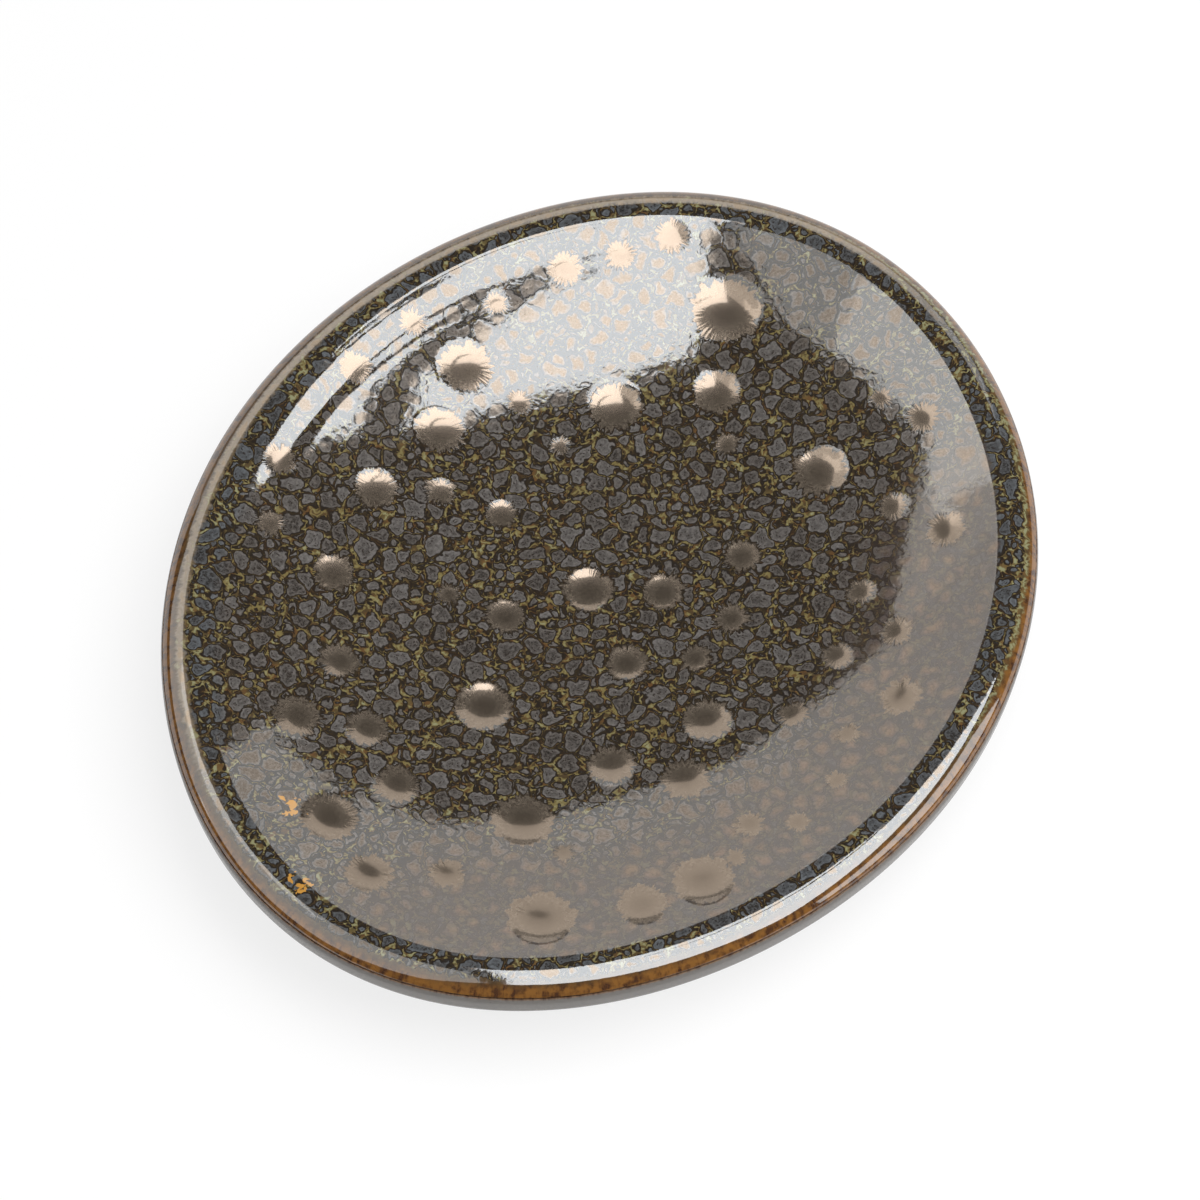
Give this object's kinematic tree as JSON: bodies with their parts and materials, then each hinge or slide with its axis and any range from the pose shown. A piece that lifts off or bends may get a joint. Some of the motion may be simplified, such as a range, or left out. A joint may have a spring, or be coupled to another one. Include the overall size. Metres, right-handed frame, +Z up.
{
  "type": "soap dish",
  "caption": "Shallow pebble-shaped stoneware dish on a foot ring, its bowl pressed with round dimples that lift the soap clear of the wet floor.",
  "frame": {"origin": "middle of the dish's plan, on the plane that the foot ring stands on", "axes": "+X along the length of the dish, +Y across it, +Z up"},
  "size_m": [0.14, 0.1186, 0.0179],
  "materials": {
    "bare_stoneware": "fired clay, unglazed, fine and matt",
    "speckled_glaze": "high gloss reactive glaze, grey cells in olive and rust veins, amber where it breaks at the edge",
    "grey_glaze": "plain warm-grey glaze, satin to glossy"
  },
  "bodies": {
    "root": {"stoneware_body": "bare_stoneware", "inside_glaze": "speckled_glaze", "outside_glaze": "grey_glaze"}
  },
  "joints": []
}
